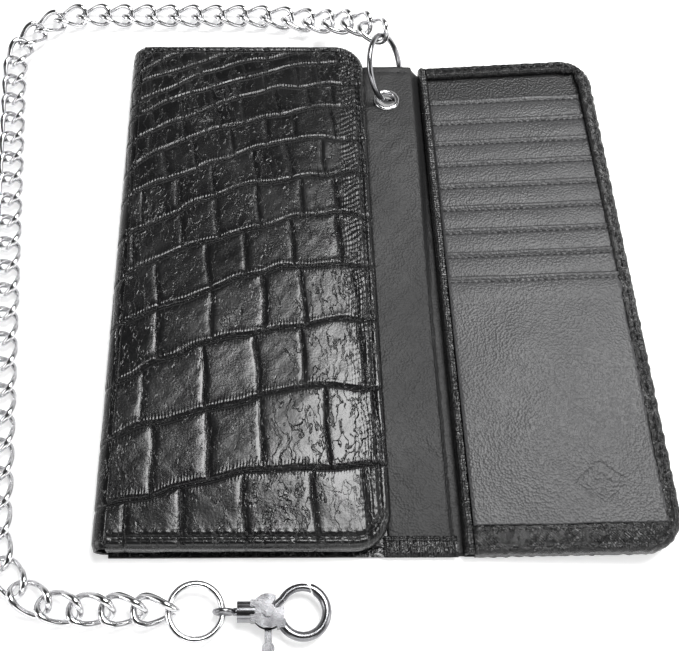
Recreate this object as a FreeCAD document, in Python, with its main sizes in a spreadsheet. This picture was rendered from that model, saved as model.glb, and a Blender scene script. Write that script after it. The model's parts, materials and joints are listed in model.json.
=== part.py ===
import FreeCAD, Part
import Sketcher

import math
import os
import re

# A long tri-fold chain wallet lying half open on a table.
# +X right, +Y along the wallet's long side, +Z up; the origin is on the table under the back panel.

Vector = FreeCAD.Vector
Rotation = FreeCAD.Rotation
Placement = FreeCAD.Placement

document = FreeCAD.newDocument("ChainWallet")
sheet = document.addObject("Spreadsheet::Sheet", "Sheet")

DRIVING_DIMENSIONS = {
    # outlines, as distances from the origin
    "fold_west": -56.5,
    "cover_east": 36.0,
    "strip_west": 36.5,
    "strip_east": 56.5,
    "base_south": -102.1,
    "base_north": 93.5,
    "cover_south": -100.0,
    "cover_north": 101.0,
    "corner_radius": 12.0,
    # leather and linings
    "leather": 1.1,
    "film": 0.2,
    "lining": 1.0,
    "pocket_leather": 0.9,
    # back panel
    "layer_inset": 3.0,
    "strip_lining": 0.7,
    "strip_lift": 5.05,
    "ramp_start": -10.8,
    "ramp_finish": 62.4,
    # cover
    "cover_bottom": 4.0,
    "cover_top": 9.6,
    "cover_skin": 1.6,
    "cover_border": 6.2,
    "edge_drop": 1.8,
    "fold_gap": 0.1,
    # wing, measured while it lies flat
    "wing_west": 59.5,
    "wing_width": 67.5,
    "wing_north": 94.6,
    "wing_floor": 0.3,
    "wing_tilt": 4.4,
    "wing_pivot_east": 58.0,
    "wing_pivot_height": 9.8,
    "binding_side": 4.5,
    "binding_foot": 8.6,
    "binding_spine": 3.5,
    "binding_top": 5.7,
    "backing": 0.6,
    "card_pockets": 9,
    "card_depth": 86.0,
    "first_lip": 15.4,
    "lip_pitch": 10.4,
    "pocket_sheet": 0.36,
    # grommet
    "grommet_east": 45.6,
    "grommet_north": 76.3,
    "grommet_bore": 3.4,
    "grommet_barrel": 3.8,
    "grommet_flange": 5.2,
    "flange_sheet": 0.25,
    # wallet ring and end ring
    "wallet_ring_radius": 13.0,
    "end_ring_radius": 8.1,
    "ring_wire": 1.1,
    "ring_turn": 17.3,
    "ring_raise": 35.0,
    "ring_lean": 30.4,
    # curb chain
    "chain_links": 45,
    "links_per_group": 5,
    "link_length": 13.2,
    "link_width": 8.6,
    "link_twist": 2.1,
    "link_wire": 1.15,
    "link_pitch": 9.72,
    # clasp
    "clasp_east": -1.5,
    "clasp_south": -118.9,
    "clasp_middle": 4.2,
    "clasp_wire": 1.5,
    "gate_wire": 1.2,
    "clasp_loop": 7.2,
    "clasp_loop_east": 10.5,
    "nose_end": 72.0,
    "gate_reach": 14.3,
    "gate_drop": 0.4,
    "collar_radius": 3.2,
    "collar_length": 5.4,
    "hub_radius": 3.1,
    "hub_height": 1.9,
    "tail_width": 2.2,
    "tail_length": 9.0,
    "tail_reach": 10.5,
    "thumb_radius": 1.9,
    "thumb_height": 2.6,
    "rivet_radius": 1.0,
    "rivet_head": 1.9,
    "spring_radius": 2.1,
    "spring_wire": 0.3,
    "spring_pitch": 0.45,
    # swivel eye and end ring
    "end_ring_tilt": 6.0,
    "eye_loop": 2.8,
    "eye_wire": 0.85,
    "post_radius": 1.2,
    "post_head": 1.9,
    "post_head_length": 1.1,
    "cheek_radius": 5.0,
    "cheek_sheet": 1.2,
    "cheek_gap": 3.6,
}

for row, (alias, number) in enumerate(DRIVING_DIMENSIONS.items(), start=1):
    sheet.set(f"A{row}", alias)
    sheet.set(f"B{row}", str(number))
    sheet.setAlias(f"B{row}", alias)
document.recompute()

ROUTE_STEP = 0.25

sub_parts = []


def bound(text):
    """Turn sheet words into references that another object can use."""
    return re.sub(r"[a-z]\w*", lambda word: "Sheet." + word.group(), str(text))


def size(text):
    """The present value of an expression in sheet words."""
    return float(sheet.evalExpression(bound(text)))


def keep(item, label):
    """Make an object a sub-part under its own label."""
    item.Label = label
    sub_parts.append(item)
    return item


def box(name, west, east, south, north, bottom, top, seat=Placement()):
    """A box between six expressions, moved by the placement that its whole panel has."""
    item = document.addObject("Part::Box", name)
    item.setExpression("Length", f"({bound(east)}) - ({bound(west)})")
    item.setExpression("Width", f"({bound(north)}) - ({bound(south)})")
    item.setExpression("Height", f"({bound(top)}) - ({bound(bottom)})")
    corner = Vector(size(west), size(south), size(bottom))
    item.Placement = seat.multiply(Placement(corner, Rotation()))
    return item


def cylinder(name, radius, height, foot, direction=Vector(0, 0, 1), sweep=360):
    """A cylinder whose radius and height are expressions."""
    item = document.addObject("Part::Cylinder", name)
    item.setExpression("Radius", bound(radius))
    item.setExpression("Height", bound(height))
    item.Angle = sweep
    item.Placement = Placement(foot, Rotation(Vector(0, 0, 1), direction))
    return item


def torus(name, radius, wire, centre, normal, first=0, last=360):
    """A ring of round wire, or an arc of one when first and last differ from a full turn."""
    item = document.addObject("Part::Torus", name)
    item.setExpression("Radius1", bound(radius))
    item.setExpression("Radius2", bound(wire))
    item.Angle3 = last - first
    turn = Rotation(Vector(0, 0, 1), normal).multiply(Rotation(Vector(0, 0, 1), first))
    item.Placement = Placement(centre, turn)
    return item


def cut(name, base, tool):
    item = document.addObject("Part::Cut", name)
    item.Base = base
    item.Tool = tool
    return item


def join(name, pieces):
    item = document.addObject("Part::MultiFuse", name)
    item.Shapes = pieces
    return item


def upright_edges_on_the_east(item):
    """Edge numbers of a box's two upright edges farthest along its own +X."""
    document.recompute()
    local = item.Placement.inverse()
    numbers = []
    for number, edge in enumerate(item.Shape.Edges, start=1):
        ends = [local.multVec(vertex.Point) for vertex in edge.Vertexes]
        upright = abs(ends[0].z - ends[-1].z) > 0.01
        if upright and ends[0].x > item.Length.Value / 2:
            numbers.append(number)
    return numbers


def round_east_corners(name, item, radius):
    """Round the two free corners of a panel."""
    rounded = document.addObject("Part::Fillet", name)
    rounded.Base = item
    rounded.Edges = [(number, radius, radius) for number in upright_edges_on_the_east(item)]
    return rounded


def strip_profile(name, west, east, bottom, top):
    """A band whose side view ramps up towards its north end, padded along +X."""
    body = document.addObject("PartDesign::Body", name)
    planes = {plane.Role: plane for plane in body.Origin.OriginFeatures}
    sketch = body.newObject("Sketcher::SketchObject", name + "_side_view")
    sketch.AttachmentSupport = [(planes["YZ_Plane"], "")]
    sketch.MapMode = "FlatFace"
    sketch.setExpression("AttachmentOffset.Base.z", bound(west))
    corners = [("base_south", bottom), ("ramp_start", bottom), ("ramp_finish", f"strip_lift + {bottom}"),
               ("base_north", f"strip_lift + {bottom}"), ("base_north", f"strip_lift + {top}"),
               ("ramp_finish", f"strip_lift + {top}"), ("ramp_start", top), ("base_south", top)]
    points = [Vector(size(along), size(height), 0) for along, height in corners]
    for start, finish in zip(points, points[1:] + points[:1]):
        sketch.addGeometry(Part.LineSegment(start, finish))
    count = len(points)
    for number in range(count):
        before = (number - 1) % count
        sketch.addConstraint(Sketcher.Constraint("Coincident", before, 2, number, 1))
    for number, (along, height) in enumerate(corners):
        for kind, expression, value in (("DistanceX", along, points[number].x),
                                        ("DistanceY", height, points[number].y)):
            index = sketch.addConstraint(Sketcher.Constraint(kind, -1, 1, number, 1, value))
            sketch.setExpression(f"Constraints[{index}]", bound(expression))
    pad = body.newObject("PartDesign::Pad", name + "_width")
    pad.Profile = sketch
    pad.setExpression("Length", f"({bound(east)}) - ({bound(west)})")
    body.Tip = pad
    return body


# ---------------------------------------------------------------- back panel

fold_height = size("cover_top / 2")
spine_axis_east = size("fold_west + cover_top / 2")
grommet_foot = Vector(size("grommet_east"), size("grommet_north"), size("strip_lift"))


def grommet_hole(name, reach=3):
    foot = grommet_foot - Vector(0, 0, reach)
    return cylinder(name, "grommet_barrel", 2 * reach + 2, foot)


def build_back_panel():
    """Outer leather, screening film, lining and the bill pocket, with the smooth strip beside them."""
    west = "fold_west + cover_top / 2"
    plate = box("back_plate", west, "strip_west", "base_south", "base_north", "0", "leather")
    band = strip_profile("strip_band", "strip_west", "strip_east", "0", "leather")
    shell = cut("back_shell_bored", join("back_leather", [plate, band]), grommet_hole("shell_hole"))
    keep(shell, "back_shell")
    inner_west = f"{west} + layer_inset"
    layers = [("back_rfid_layer", "leather", "leather + film"),
              ("back_lining", "leather + film", "leather + film + lining"),
              ("bill_pocket_panel", "leather + film + lining",
               "leather + film + lining + pocket_leather")]
    for label, bottom, top in layers:
        keep(box(label, inner_west, "strip_west - layer_inset", "base_south + layer_inset",
                 "base_north - layer_inset", bottom, top), label)
    lining = strip_profile("strip_lining_band", "strip_west", "strip_east", "leather",
                           "leather + strip_lining")
    keep(cut("strip_lining_bored", lining, grommet_hole("lining_hole")), "strip_lining")


def build_grommet():
    """A flanged tube through the strip and the washer that it is rolled over underneath."""
    thickness = "leather + strip_lining"
    tube = cylinder("eyelet_tube", "grommet_barrel", thickness, grommet_foot)
    top = grommet_foot + Vector(0, 0, size(thickness))
    flange = cylinder("eyelet_flange", "grommet_flange", "flange_sheet", top)
    bore = cylinder("eyelet_bore", "grommet_bore", 8, grommet_foot - Vector(0, 0, 3))
    keep(cut("eyelet_bored", join("eyelet_blank", [tube, flange]), bore), "grommet_eyelet")
    low = grommet_foot - Vector(0, 0, size("flange_sheet"))
    disc = cylinder("washer_disc", "grommet_flange", "flange_sheet", low)
    hole = cylinder("washer_hole", "grommet_bore", 8, low - Vector(0, 0, 3))
    keep(cut("washer_bored", disc, hole), "grommet_washer")


def build_spines():
    """The leather that bends when a panel turns."""
    length = "base_north - base_south + 2"
    foot = Vector(spine_axis_east, size("base_south + 1"), fold_height)
    outer = cylinder("spine_outer", "cover_top / 2", length, foot, Vector(0, 1, 0))
    inner = cylinder("spine_inner", "cover_top / 2 - leather", length, foot, Vector(0, 1, 0))
    west_half = box("spine_half", "fold_west - 1", "fold_west + cover_top / 2", "base_south",
                    "base_north + 4", "-1", "cover_top + 1")
    tube = cut("spine_tube", outer, inner)
    half = document.addObject("Part::Common", "spine_west")
    half.Base = tube
    half.Tool = west_half
    keep(half, "left_spine")
    right = strip_profile("right_spine", "strip_east + fold_gap", "wing_west", "0", "leather")
    keep(right, "right_spine")


# --------------------------------------------------------------------- cover

def build_cover():
    """The folded-over front: a padded leather panel with a solid turned edge on its three free sides."""
    west = "fold_west + cover_top / 2 + fold_gap"
    blank = box("cover_blank", west, "cover_east", "cover_south", "cover_north",
                "cover_bottom", "cover_top")
    rounded = round_east_corners("cover_rounded", blank, size("corner_radius"))
    document.recompute()
    drop = size("edge_drop")
    rim = document.addObject("Part::Chamfer", "cover_rolled")
    rim.Base = rounded
    top = size("cover_top") - 0.01
    middle = size("fold_west / 2")
    rim.Edges = [(number, drop, drop) for number, edge in enumerate(rounded.Shape.Edges, start=1)
                 if edge.BoundBox.ZMin > top and edge.BoundBox.XMax > middle]
    sides = (f"{west} + cover_border", "cover_east - cover_border", "cover_south + cover_border",
             "cover_north - cover_border")
    hollow = box("cover_hollow", *sides, "cover_bottom - 1", "cover_top - cover_skin")
    keep(cut("cover_shell_cut", rim, hollow), "cover_shell")
    pocket = "cover_bottom + pocket_leather"
    lining = f"{pocket} + lining"
    film = f"{lining} + film"
    layers = [("cover_pocket_panel", "cover_bottom", pocket), ("cover_lining", pocket, lining),
              ("cover_rfid_layer", lining, film), ("cover_padding", film, "cover_top - cover_skin")]
    for label, bottom, top in layers:
        keep(box(label, *sides, bottom, top), label)


# ---------------------------------------------------------------------- wing

wing_pivot = Vector(size("wing_pivot_east"), 0, size("wing_pivot_height"))
wing_seat = Placement(Vector(), Rotation(Vector(0, -1, 0), size("wing_tilt")), wing_pivot)


def build_wing():
    """The card panel: leather outside, film, backing, nine stepped pockets and a bound edge."""
    east = "wing_west + wing_width"
    blank = box("wing_blank", "wing_west", east, "base_south", "wing_north", "wing_floor",
                "wing_floor + leather", wing_seat)
    keep(round_east_corners("wing_rounded", blank, size("corner_radius")), "wing_shell")
    inner = ("wing_west + binding_spine", f"{east} - binding_side", "base_south + binding_foot",
             "wing_north - binding_side")
    floor = "wing_floor + leather"
    keep(box("wing_film", *inner, floor, f"{floor} + film", wing_seat), "wing_rfid_layer")
    keep(box("wing_back", *inner, f"{floor} + film", f"{floor} + film + backing", wing_seat),
         "wing_backing")
    for number in range(int(size("card_pockets"))):
        lip = f"wing_north - first_lip - {number} * lip_pitch"
        foot = lip + " - card_depth"
        if size(foot) < size(inner[2]):
            foot = inner[2]
        bottom = f"{floor} + film + backing + {number} * pocket_sheet"
        label = f"card_pocket_{number + 1}"
        keep(box(label, inner[0], inner[1], foot, lip, bottom, f"{bottom} + pocket_sheet", wing_seat),
             label)
    frame = box("binding_blank", inner[0], east, "base_south", "wing_north",
                floor, "binding_top", wing_seat)
    opening = box("binding_opening", "wing_west - 1", *inner[1:],
                  f"{floor} - 1", "binding_top + 1", wing_seat)
    rounded = round_east_corners("binding_rounded", frame, size("corner_radius"))
    keep(cut("binding_cut", rounded, opening), "wing_binding")
    keep(box("spine_binding", "wing_west", inner[0], "base_south", "wing_north",
             floor, "binding_top - 0.6", wing_seat), "wing_spine_binding")


# --------------------------------------------------------------- wallet ring

def ring_frame():
    """Centre, chord direction and raised direction of the ring that stands through the grommet."""
    turn = math.radians(size("ring_turn"))
    lean = math.radians(size("ring_lean"))
    raised = math.radians(size("ring_raise"))
    chord = Vector(math.sin(turn), math.cos(turn), 0)
    leftwards = Vector(-math.cos(turn), math.sin(turn), 0)
    upwards = leftwards * math.sin(lean) + Vector(0, 0, math.cos(lean))
    hole = grommet_foot + Vector(0, 0, size("(leather + strip_lining) / 2"))
    radius = size("wallet_ring_radius")
    centre = hole + chord * (radius * math.cos(raised)) + upwards * (radius * math.sin(raised))
    return hole, centre, chord, upwards


def ring_hook_point():
    """Where the first link hangs on the ring, and the ring's direction there."""
    _, centre, chord, upwards = ring_frame()
    angle = math.radians(40)
    point = centre + (chord * math.cos(angle) + upwards * math.sin(angle)) * size("wallet_ring_radius")
    along = upwards * math.cos(angle) - chord * math.sin(angle)
    return point, along


def build_wallet_ring():
    _, centre, chord, upwards = ring_frame()
    keep(torus("wallet_ring_wire", "wallet_ring_radius", "ring_wire", centre, chord.cross(upwards)),
         "wallet_ring")


# --------------------------------------------------------------------- chain

def route_corners():
    """The chain's route: off the ring, along the back, down the left side and along the front."""
    point, _ = ring_hook_point()
    leaving = Vector(-0.6, 0.75, -0.28).normalize()
    start = point + leaving * (size("link_length") / 2 - 2.6)
    return [(start, 0),
            (start + leaving * 9, 30),
            (Vector(14, 121, 3.9), 48),
            (Vector(-4, 124.4, 3.34), 55),
            (Vector(-107.6, 124.9, 3.34), 27),
            (Vector(-84.8, -117.6, 3.34), 27),
            (Vector(-60, -118.1, 4.05), 20),
            (Vector(-28, -118.8, 5.6), 0)]


def route_points():
    """Points a fixed step apart along the route, its corners rounded by arcs."""
    corners = route_corners()
    points = []
    reached = corners[0][0]

    def straight(finish):
        steps = int((finish - reached).Length / ROUTE_STEP) + 1
        points.extend(reached + (finish - reached) * (step / steps) for step in range(steps))

    for (before, _), (corner, radius), (after, _) in zip(corners, corners[1:], corners[2:]):
        back = (before - corner).normalize()
        ahead = (after - corner).normalize()
        half = back.getAngle(ahead) / 2
        start = corner + back * (radius / math.tan(half))
        straight(start)
        middle = corner + (back + ahead).normalize() * (radius / math.sin(half))
        first = (start - middle) / radius
        second = back * -1
        turn = math.pi - 2 * half
        steps = int(radius * turn / ROUTE_STEP) + 1
        for step in range(steps):
            angle = turn * step / steps
            points.append(middle + (first * math.cos(angle) + second * math.sin(angle)) * radius)
        reached = corner + ahead * (radius / math.tan(half))
    straight(corners[-1][0])
    points.append(corners[-1][0])
    return points


def link_centres():
    """Centres of the links, one pitch apart in a straight line from each to the next."""
    points = route_points()
    pitch = size("link_pitch")
    centres = [points[0]]
    index = 1
    while len(centres) < int(size("chain_links")):
        while (points[index] - centres[-1]).Length < pitch:
            index += 1
        low = points[index - 1]
        high = points[index]
        for _ in range(20):
            middle = (low + high) * 0.5
            if (middle - centres[-1]).Length < pitch:
                low = middle
            else:
                high = middle
        centres.append(high)
    return centres


def link_roll(number):
    """How far a link is rolled about the chain, in degrees: it turns onto each ring over a few links."""
    last = int(size("chain_links")) - 1
    onto_wallet_ring = -30 * max(0, 1 - number / 6)
    onto_end_ring = 44 * max(0, (number - last + 4) / 4)
    return onto_wallet_ring + onto_end_ring


def link_placements():
    centres = link_centres()
    placements = []
    for number, centre in enumerate(centres):
        before = centres[max(number - 1, 0)]
        after = centres[min(number + 1, len(centres) - 1)]
        along = (after - before).normalize()
        level = Rotation(along, Vector(), Vector(0, 0, 1), "XZY")
        rolled = level.multiply(Rotation(Vector(1, 0, 0), link_roll(number)))
        placements.append(Placement(centre, rolled))
    return placements


def swept(points, radius):
    """Round wire along straight stretches that meet in mitres."""
    wire = Part.makePolygon(points)
    section = Part.Wire([Part.Circle(points[0], (points[1] - points[0]).normalize(), radius).toShape()])
    return wire.makePipeShell([section], True, False, 1)


def curb_link():
    """One twisted oval link: two half loops of round wire joined end to end."""
    stretches = 16
    corners = []
    for number in range(stretches):
        angle = 2 * math.pi * number / stretches
        corners.append(Vector(size("link_length") / 2 * math.cos(angle),
                              size("link_width") / 2 * math.sin(angle),
                              size("link_twist") * math.sin(2 * angle)))
    half = stretches // 2
    east = (corners[0] + corners[-1]) * 0.5
    west = (corners[half - 1] + corners[half]) * 0.5
    wire = size("link_wire")
    north_loop = swept([east] + corners[:half] + [west], wire)
    south_loop = swept([west] + corners[half:] + [east], wire)
    return north_loop.fuse(south_loop).removeSplitter().Solids[0]


def build_chain():
    """Links in groups that share a node, each link still a solid of its own."""
    link = curb_link()
    placements = link_placements()
    per_group = int(size("links_per_group"))
    for first in range(0, len(placements), per_group):
        group = [link.transformed(place.toMatrix()) for place in placements[first:first + per_group]]
        label = f"chain_links_{first // per_group + 1:02d}"
        item = document.addObject("Part::Feature", label)
        item.Shape = Part.makeCompound(group)
        keep(item, label)


# --------------------------------------------------------------------- clasp

def end_ring_centre():
    """The last link's tip sits just inside the ring's wire."""
    last = link_placements()[-1]
    tip = last.multVec(Vector(size("link_length") / 2, 0, 0))
    rise = size("end_ring_radius") * math.sin(math.radians(size("end_ring_tilt")))
    return Vector(tip.x - 2.65 + size("end_ring_radius"), size("clasp_south"),
                  size("clasp_middle") + rise)


def build_end_ring():
    """The ring between the last link and the swivel eye."""
    normal = Rotation(Vector(0, 1, 0), size("end_ring_tilt")).multVec(Vector(0, 0, 1))
    keep(torus("end_ring_wire", "end_ring_radius", "ring_wire", end_ring_centre(), normal), "end_ring")


def clasp_point(east, south=0, up=0):
    """A point given from the clasp's rivet at mid height."""
    return Vector(size("clasp_east") + east, size("clasp_south") + south, size("clasp_middle") + up)


def eye_centre():
    """The middle of the loop that hangs on the end ring."""
    centre = end_ring_centre()
    return Vector(centre.x + size("end_ring_radius") + 0.5, size("clasp_south"), size("clasp_middle"))


def build_swivel_eye():
    """A loop round the end ring with a headed post that turns inside the clasp's collar."""
    east = Vector(1, 0, 0)
    centre = eye_centre()
    loop = torus("swivel_loop", "eye_loop", "eye_wire", centre, Vector(0, 1, 0))
    start = centre + Vector(size("eye_loop"), 0, 0)
    head_start = clasp_point(-7.0)
    post = cylinder("eye_post", "post_radius", str(head_start.x - start.x), start, east)
    head = cylinder("eye_head", "post_head", "post_head_length", head_start, east)
    keep(join("eye_joined", [loop, post, head]), "swivel_eye")


def build_hook_body():
    """Collar, two cheeks and the fixed arm of the hook."""
    east = Vector(1, 0, 0)
    collar = cylinder("collar_outer", "collar_radius", "collar_length", clasp_point(-9.4), east)
    post_bore = cylinder("collar_bore", "post_radius + 0.2", "4", clasp_point(-10), east)
    head_room = cylinder("collar_chamber", "post_head + 0.25", "1.6", clasp_point(-7.25), east)
    gap = size("cheek_gap")
    sheet_height = size("cheek_sheet")
    low = clasp_point(0, 0, -gap / 2 - sheet_height)
    cheeks = [cylinder("cheek_low", "cheek_radius", "cheek_sheet", low),
              cylinder("cheek_high", "cheek_radius", "cheek_sheet", clasp_point(0, 0, gap / 2))]
    rear = document.addObject("Part::Box", "rear_wall")
    rear.Length = 1.5
    rear.Width = 6.4
    rear.setExpression("Height", bound("cheek_gap + 2 * cheek_sheet"))
    rear.Placement = Placement(low + Vector(-5.4, -3.2, 0), Rotation())
    root = document.addObject("Part::Box", "arm_root")
    root.Length = 2.6
    root.Width = 2.7
    root.setExpression("Height", bound("cheek_gap + 2 * cheek_sheet"))
    root.Placement = Placement(low + Vector(2.6, -4.9, 0), Rotation())
    arm = torus("hook_arm", "clasp_loop", "clasp_wire", clasp_point(size("clasp_loop_east")),
                Vector(0, 0, 1), -157, size("nose_end"))
    gate_way = cylinder("gate_way", "gate_reach + 0.3", "12", low - Vector(0, 0, 2), sweep=45)
    gate_way.Placement = gate_way.Placement.multiply(Placement(Vector(), Rotation(Vector(0, 0, 1), 15)))
    rivet_hole = cylinder("rivet_hole", "rivet_radius + 0.1", "12", low - Vector(0, 0, 2))
    solid = join("hook_blank", [collar, rear, root, arm] + cheeks)
    tools = join("hook_tools", [post_bore, head_room, rivet_hole, gate_way])
    keep(cut("hook_body_cut", solid, tools), "hook_body")


def build_trigger():
    """The sprung gate with its thumb tail, the rivet that it turns on and its spring."""
    drop = size("gate_drop")
    gate_start = 150
    foot = clasp_point(0, 0, -size("cheek_gap") / 2 + 0.2)
    hub = cylinder("trigger_hub", "hub_radius", "hub_height", foot)
    loop_middle = clasp_point(size("clasp_loop_east"), 0, -drop)
    gate_arc = torus("gate_arc", "clasp_loop", "gate_wire", loop_middle, Vector(0, 0, 1),
                     size("nose_end") - 6, gate_start)
    gate = document.addObject("Part::Common", "trigger_gate")
    gate.Base = gate_arc
    gate.Tool = cylinder("gate_limit", "gate_reach", "12", foot - Vector(0, 0, 4))
    turn = math.radians(gate_start)
    start = loop_middle + Vector(math.cos(turn), math.sin(turn), 0) * size("clasp_loop")
    pivot = clasp_point(0, 0, -drop)
    outwards = (start - pivot).normalize()
    near = pivot + outwards * 2.7
    bridge = cylinder("trigger_bridge", "gate_wire", str((start - near).Length), near, outwards)
    tail = document.addObject("Part::Box", "trigger_tail")
    tail.setExpression("Length", bound("tail_width"))
    tail.setExpression("Width", bound("tail_length"))
    tail.setExpression("Height", bound("hub_height"))
    reach = size("tail_reach")
    tail.Placement = Placement(foot - Vector(size("tail_width / 2"), reach, 0), Rotation())
    thumb = cylinder("trigger_thumb", "thumb_radius", "thumb_height", foot - Vector(0, reach, 0.3))
    blank = join("trigger_blank", [hub, gate, bridge, tail, thumb])
    hole = cylinder("trigger_hole", "rivet_radius + 0.15", "12", foot - Vector(0, 0, 4))
    keep(cut("trigger_cut", blank, hole), "trigger_lever")
    half = size("cheek_gap / 2 + cheek_sheet")
    shank = cylinder("rivet_shank", "rivet_radius", str(2 * half), clasp_point(0, 0, -half))
    heads = [cylinder("rivet_head_low", "rivet_head", "0.5", clasp_point(0, 0, -half - 0.5)),
             cylinder("rivet_head_high", "rivet_head", "0.6", clasp_point(0, 0, half))]
    keep(join("rivet_joined", [shank] + heads), "trigger_rivet")
    pitch = size("spring_pitch")
    coils = [torus(f"spring_coil_{turn}", "spring_radius", "spring_wire",
                   clasp_point(0, 0, 0.85 + pitch * turn), Vector(0, 0, 1)) for turn in range(2)]
    keep(join("spring_joined", coils), "trigger_spring")


def build_all():
    build_back_panel()
    build_grommet()
    build_spines()
    build_cover()
    build_wing()
    build_wallet_ring()
    build_chain()
    build_end_ring()
    build_swivel_eye()
    build_hook_body()
    build_trigger()
    document.recompute()


build_all()

for item in document.Objects:
    if "Invalid" in item.State or "Error" in item.State:
        raise RuntimeError(f"{item.Label} did not compute: {item.State}")

os.makedirs("parts", exist_ok=True)
for item in sub_parts:
    if item.Shape.isNull() or not item.Shape.isValid():
        raise RuntimeError(f"{item.Label} has no valid shape")
    item.Shape.exportStep(os.path.join("parts", item.Label + ".step"))
print(len(sub_parts), "sub-parts written")
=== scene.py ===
"""The looks of a long leather chain wallet: embossed cover, card wing, smooth strip, curb chain and swivel hook."""

import json
import logging
import math
from dataclasses import dataclass, field
from enum import Enum
from typing import Callable, Optional, Sequence

import bmesh
import bpy
import numpy as np
from mathutils import Matrix, Vector


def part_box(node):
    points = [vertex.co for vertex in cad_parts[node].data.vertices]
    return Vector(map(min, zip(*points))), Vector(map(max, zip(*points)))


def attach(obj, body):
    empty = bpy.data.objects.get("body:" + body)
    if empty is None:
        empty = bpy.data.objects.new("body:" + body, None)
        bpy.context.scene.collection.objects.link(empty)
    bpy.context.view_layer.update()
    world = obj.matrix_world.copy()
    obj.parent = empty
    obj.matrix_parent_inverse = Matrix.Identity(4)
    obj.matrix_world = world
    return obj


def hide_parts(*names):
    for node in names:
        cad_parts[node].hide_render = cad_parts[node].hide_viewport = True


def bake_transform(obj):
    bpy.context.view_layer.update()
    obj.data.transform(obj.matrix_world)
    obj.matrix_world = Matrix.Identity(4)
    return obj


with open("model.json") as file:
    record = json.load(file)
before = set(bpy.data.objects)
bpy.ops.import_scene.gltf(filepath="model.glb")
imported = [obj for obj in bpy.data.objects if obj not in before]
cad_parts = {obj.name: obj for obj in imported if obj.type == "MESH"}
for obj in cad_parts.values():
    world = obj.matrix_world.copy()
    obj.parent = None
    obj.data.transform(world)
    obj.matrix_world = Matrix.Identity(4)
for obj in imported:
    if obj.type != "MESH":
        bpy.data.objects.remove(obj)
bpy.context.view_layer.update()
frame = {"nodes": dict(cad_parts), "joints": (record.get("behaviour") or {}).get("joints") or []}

log = logging.getLogger("wallet")
MM = 0.001
Array = np.ndarray


class Slot(Enum):
    """The finishes that the record names."""

    EMBOSSED = "embossed_leather"
    SMOOTH = "smooth_leather"
    LINING = "lining"
    FILM = "screening_film"
    HARDWARE = "hardware"


# ------------------------------------------------------------------ finishes


@dataclass
class Shader:
    """A material under construction, with the few wiring steps that every finish needs."""

    name: str
    material: bpy.types.Material = field(init=False)

    def __post_init__(self) -> None:
        """Start from a new material with its usual surface node."""
        self.material = bpy.data.materials.new(self.name)
        self.material.use_nodes = True
        self.tree = self.material.node_tree
        self.surface = self.tree.nodes["Principled BSDF"]
        self.place = self.tree.nodes.new("ShaderNodeTexCoord").outputs["Object"]

    def node(self, kind: str, inputs: Optional[dict] = None, **settings) -> bpy.types.Node:
        """Add a node.

        Args:
            kind: The node's type without its "ShaderNode" prefix.
            inputs: Socket names or numbers with a value or a socket to link.
            settings: Attributes of the node itself.

        Returns:
            The new node.
        """
        node = self.tree.nodes.new("ShaderNode" + kind)
        for name, value in settings.items():
            setattr(node, name, value)
        for key, value in (inputs or {}).items():
            self.feed(node.inputs[key], value)
        return node

    def feed(self, socket: bpy.types.NodeSocket, value) -> None:
        """Link a socket, or set its value."""
        if isinstance(value, bpy.types.NodeSocket):
            self.tree.links.new(value, socket)
        else:
            socket.default_value = value

    def noise(self, scale: float, detail: float = 4.0, source=None, **inputs) -> bpy.types.NodeSocket:
        """A noise texture's factor, on the object's own coordinates unless a source is given."""
        feeds = {"Vector": source or self.place, "Scale": scale, "Detail": detail}
        feeds.update(inputs)
        return self.node("TexNoise", feeds).outputs[0]

    def cells(self, scale: float) -> bpy.types.NodeSocket:
        """A cell texture's distance."""
        return self.node("TexVoronoi", {"Vector": self.place, "Scale": scale}, feature="F1").outputs[0]

    def scaled(self, factors: Sequence[float]) -> bpy.types.NodeSocket:
        """Coordinates stretched along each axis."""
        return self.node("Mapping", {"Vector": self.place, "Scale": factors}).outputs[0]

    def ramp(self, factor, low: tuple, high: tuple) -> bpy.types.NodeSocket:
        """A value or grey that goes from one (position, value) to the other."""
        feeds = {"Value": factor, "From Min": low[0], "From Max": high[0], "To Min": low[1], "To Max": high[1]}
        return self.node("MapRange", feeds).outputs[0]

    def math(self, operation: str, first, second) -> bpy.types.NodeSocket:
        """One sum, product or other operation on two values."""
        return self.node("Math", {0: first, 1: second}, operation=operation).outputs[0]

    def tint(self, factor, low: tuple, high: tuple) -> bpy.types.NodeSocket:
        """A colour between two, by a factor."""
        node = self.node("Mix", data_type="RGBA")
        self.feed(node.inputs[0], factor)
        self.feed(node.inputs[6], (*low, 1.0))
        self.feed(node.inputs[7], (*high, 1.0))
        return node.outputs[2]

    def bump(self, height, distance: float, strength: float = 1.0, under=None) -> bpy.types.NodeSocket:
        """A bump, over another one when given."""
        feeds = {"Height": height, "Distance": distance, "Strength": strength}
        if under is not None:
            feeds["Normal"] = under
        return self.node("Bump", feeds).outputs[0]

    def finish(self, **sockets) -> bpy.types.Material:
        """Feed the surface's sockets and return the material."""
        for name, value in sockets.items():
            self.feed(self.surface.inputs[name.replace("_", " ")], value)
        return self.material


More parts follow.
